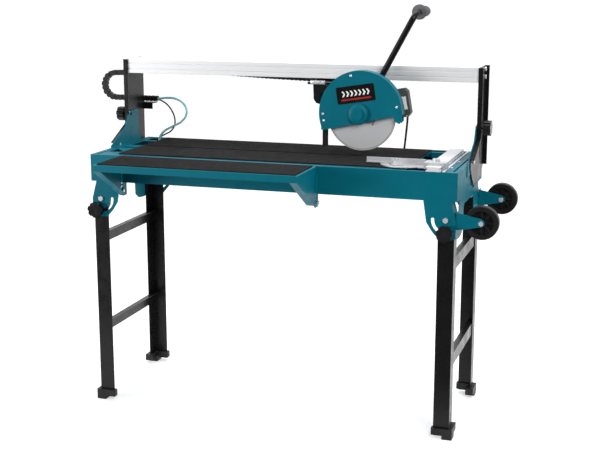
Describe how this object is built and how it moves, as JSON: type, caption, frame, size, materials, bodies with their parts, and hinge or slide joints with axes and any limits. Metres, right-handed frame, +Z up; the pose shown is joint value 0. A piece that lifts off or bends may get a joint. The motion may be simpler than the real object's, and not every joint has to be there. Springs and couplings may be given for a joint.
{
  "type": "tile cutter",
  "caption": "Wet bridge tile saw on folding legs: blade head rolls along a tilting rail over a rubber-topped water tray, with side table, mitre gauge and transport wheels.",
  "frame": {"origin": "On the floor, in the middle of the saw's footprint without its free cords.", "axes": "+Z up, +X along the tray towards the transport wheels, +Y from the side table towards the bridge rail at the rear."},
  "size_m": [1.678, 0.7695, 1.467],
  "materials": {
    "teal_paint": "powder-coated teal",
    "basin_plastic": "matt dark blue moulded plastic",
    "table_rubber": "ribbed black rubber",
    "zinc_bolts": "bright zinc plate",
    "aluminium": "anodised extruded aluminium",
    "black_paint": "satin black powder coat",
    "black_plastic": "fine-grained black plastic",
    "knob_plastic": "glossy black thermoset",
    "switch_plastic": "dark grey plastic",
    "button_plastic": "off-white plastic",
    "grip_rubber": "soft grey rubber",
    "blade_steel": "ground steel with a diamond rim",
    "bright_steel": "machined steel",
    "cord_rubber": "black rubber",
    "hose_plastic": "clear pale blue-green PVC"
  },
  "bodies": {
    "frame": {"tray_shell": "teal_paint", "basin_liner": "basin_plastic", "table_panels": "teal_paint", "table_mats": "table_rubber", "support_rails": "teal_paint", "corner_plates": "teal_paint", "frame_bolts": "zinc_bolts", "tilt_brackets": "teal_paint", "scale_rule": "aluminium", "water_pump": "black_plastic", "wheel_brackets": "teal_paint", "wheel_axles": "zinc_bolts", "fence_rail": "aluminium"},
    "left_legs": {"leg_front_left": "black_paint", "leg_rear_left": "black_paint", "crossbars_left": "black_paint", "feet_left": "black_plastic"},
    "right_legs": {"leg_front_right": "black_paint", "leg_rear_right": "black_paint", "crossbars_right": "black_paint", "feet_right": "black_plastic"},
    "leg_knob_front_left": {"leg_knob_front_left": "knob_plastic"},
    "leg_knob_rear_left": {"leg_knob_rear_left": "knob_plastic"},
    "leg_knob_front_right": {"leg_knob_front_right": "knob_plastic"},
    "leg_knob_rear_right": {"leg_knob_rear_right": "knob_plastic"},
    "tilt_knob_left": {"tilt_knob_left": "knob_plastic"},
    "tilt_knob_right": {"tilt_knob_right": "knob_plastic"},
    "wheel_front": {"wheel_front": "black_plastic"},
    "wheel_rear": {"wheel_rear": "black_plastic"},
    "side_table": {"side_table": "teal_paint", "side_table_mat": "table_rubber"},
    "gauge": {"gauge_base": "aluminium"},
    "gauge_arm": {"gauge_arm": "aluminium"},
    "gauge_knob": {"gauge_knob": "zinc_bolts"},
    "bridge": {"upright_left": "black_paint", "upright_right": "black_paint", "bridge_rail": "aluminium", "drag_chain": "black_plastic", "bridge_bolts": "zinc_bolts", "water_hose": "hose_plastic", "pump_cable": "cord_rubber"},
    "carriage": {"carriage": "black_paint", "arm_pivot_pin": "black_paint"},
    "rollers_left": {"roller_set_left": "bright_steel"},
    "rollers_right": {"roller_set_right": "bright_steel"},
    "head": {"pivot_arm": "black_paint", "motor_housing": "black_plastic", "blade_guard": "teal_paint", "guard_hub_cap": "teal_paint", "splash_flap": "table_rubber", "switch_box": "switch_plastic", "cable_gland": "cord_rubber", "handle_tube": "black_paint", "handle_grip": "grip_rubber", "mains_cord": "cord_rubber", "mains_coil": "cord_rubber", "mains_plug": "cord_rubber"},
    "blade": {"blade": "blade_steel", "arbor": "bright_steel"},
    "button": {"switch_button": "button_plastic"}
  },
  "joints": [
    {"name": "left_leg_fold", "type": "hinge", "parent": "frame", "child": "left_legs", "pos_m": [-0.606, 0.095, 0.771], "axis": [0, -1, 0], "range_deg": [0, 75]},
    {"name": "right_leg_fold", "type": "hinge", "parent": "frame", "child": "right_legs", "pos_m": [0.664, 0.095, 0.771], "axis": [0, 1, 0], "range_deg": [0, 87]},
    {"name": "leg_knob_front_left_turn", "type": "hinge", "parent": "left_legs", "child": "leg_knob_front_left", "pos_m": [-0.62319, -0.153, 0.7305], "axis": [0, -1, 0], "range_deg": [0, 360]},
    {"name": "leg_knob_rear_left_turn", "type": "hinge", "parent": "left_legs", "child": "leg_knob_rear_left", "pos_m": [-0.62319, 0.343, 0.7305], "axis": [0, 1, 0], "range_deg": [0, 360]},
    {"name": "leg_knob_front_right_turn", "type": "hinge", "parent": "right_legs", "child": "leg_knob_front_right", "pos_m": [0.664, -0.153, 0.727], "axis": [0, -1, 0], "range_deg": [0, 360]},
    {"name": "leg_knob_rear_right_turn", "type": "hinge", "parent": "right_legs", "child": "leg_knob_rear_right", "pos_m": [0.664, 0.343, 0.727], "axis": [0, 1, 0], "range_deg": [0, 360]},
    {"name": "tilt_knob_left_turn", "type": "hinge", "parent": "frame", "child": "tilt_knob_left", "pos_m": [-0.669, 0.195, 1.04001], "axis": [-1, 0, 0], "range_deg": [0, 360]},
    {"name": "tilt_knob_right_turn", "type": "hinge", "parent": "frame", "child": "tilt_knob_right", "pos_m": [0.727, 0.195, 1.04001], "axis": [1, 0, 0], "range_deg": [0, 360]},
    {"name": "wheel_front_spin", "type": "hinge", "parent": "frame", "child": "wheel_front", "pos_m": [0.782, -0.125, 0.767], "axis": [0, 1, 0], "continuous": true},
    {"name": "wheel_rear_spin", "type": "hinge", "parent": "frame", "child": "wheel_rear", "pos_m": [0.782, 0.319, 0.767], "axis": [0, 1, 0], "continuous": true},
    {"name": "side_table_tilt", "type": "hinge", "parent": "frame", "child": "side_table", "pos_m": [-0.154, -0.141, 0.803], "axis": [1, 0, 0], "range_deg": [0, 12]},
    {"name": "gauge_slide", "type": "slide", "parent": "frame", "child": "gauge", "axis": [0, -1, 0], "range_m": [-0.15, 0.02]},
    {"name": "gauge_swivel", "type": "hinge", "parent": "gauge", "child": "gauge_arm", "pos_m": [0.497, -0.042, 0.947], "axis": [0, 0, 1], "range_deg": [-45, 45]},
    {"name": "gauge_knob_turn", "type": "hinge", "parent": "gauge_arm", "child": "gauge_knob", "pos_m": [0.477, -0.09, 0.95], "axis": [0, 0, 1], "range_deg": [0, 360]},
    {"name": "bridge_tilt", "type": "hinge", "parent": "frame", "child": "bridge", "pos_m": [0.029, 0.095, 0.935], "axis": [1, 0, 0], "range_deg": [0, 45]},
    {"name": "carriage_slide", "type": "slide", "parent": "bridge", "child": "carriage", "axis": [1, 0, 0], "range_m": [-0.64, 0.1]},
    {"name": "rollers_left_roll", "type": "hinge", "parent": "carriage", "child": "rollers_left", "pos_m": [0.124, 0.225, 1.2163], "axis": [0, 1, 0], "continuous": true},
    {"name": "rollers_right_roll", "type": "hinge", "parent": "carriage", "child": "rollers_right", "pos_m": [0.274, 0.225, 1.2163], "axis": [0, 1, 0], "continuous": true},
    {"name": "head_plunge", "type": "hinge", "parent": "carriage", "child": "head", "pos_m": [0.144, 0.138, 1.137], "axis": [0, 1, 0], "range_deg": [0, 16], "stiffness_Nm_per_rad": 40, "springref_deg": -51.57},
    {"name": "blade_spin", "type": "hinge", "parent": "head", "child": "blade", "pos_m": [0.307, 0.095, 1.08], "axis": [0, 1, 0], "continuous": true},
    {"name": "switch_press", "type": "slide", "parent": "head", "child": "button", "axis": [0, 1, 0], "range_m": [0, 0.003], "stiffness_N_per_m": 400, "springref_m": -0.002}
  ],
  "couplings": [
    {"joint": "rollers_left_roll", "follows": "carriage_slide", "rad_per_m": 76.923},
    {"joint": "rollers_right_roll", "follows": "carriage_slide", "rad_per_m": 76.923}
  ]
}
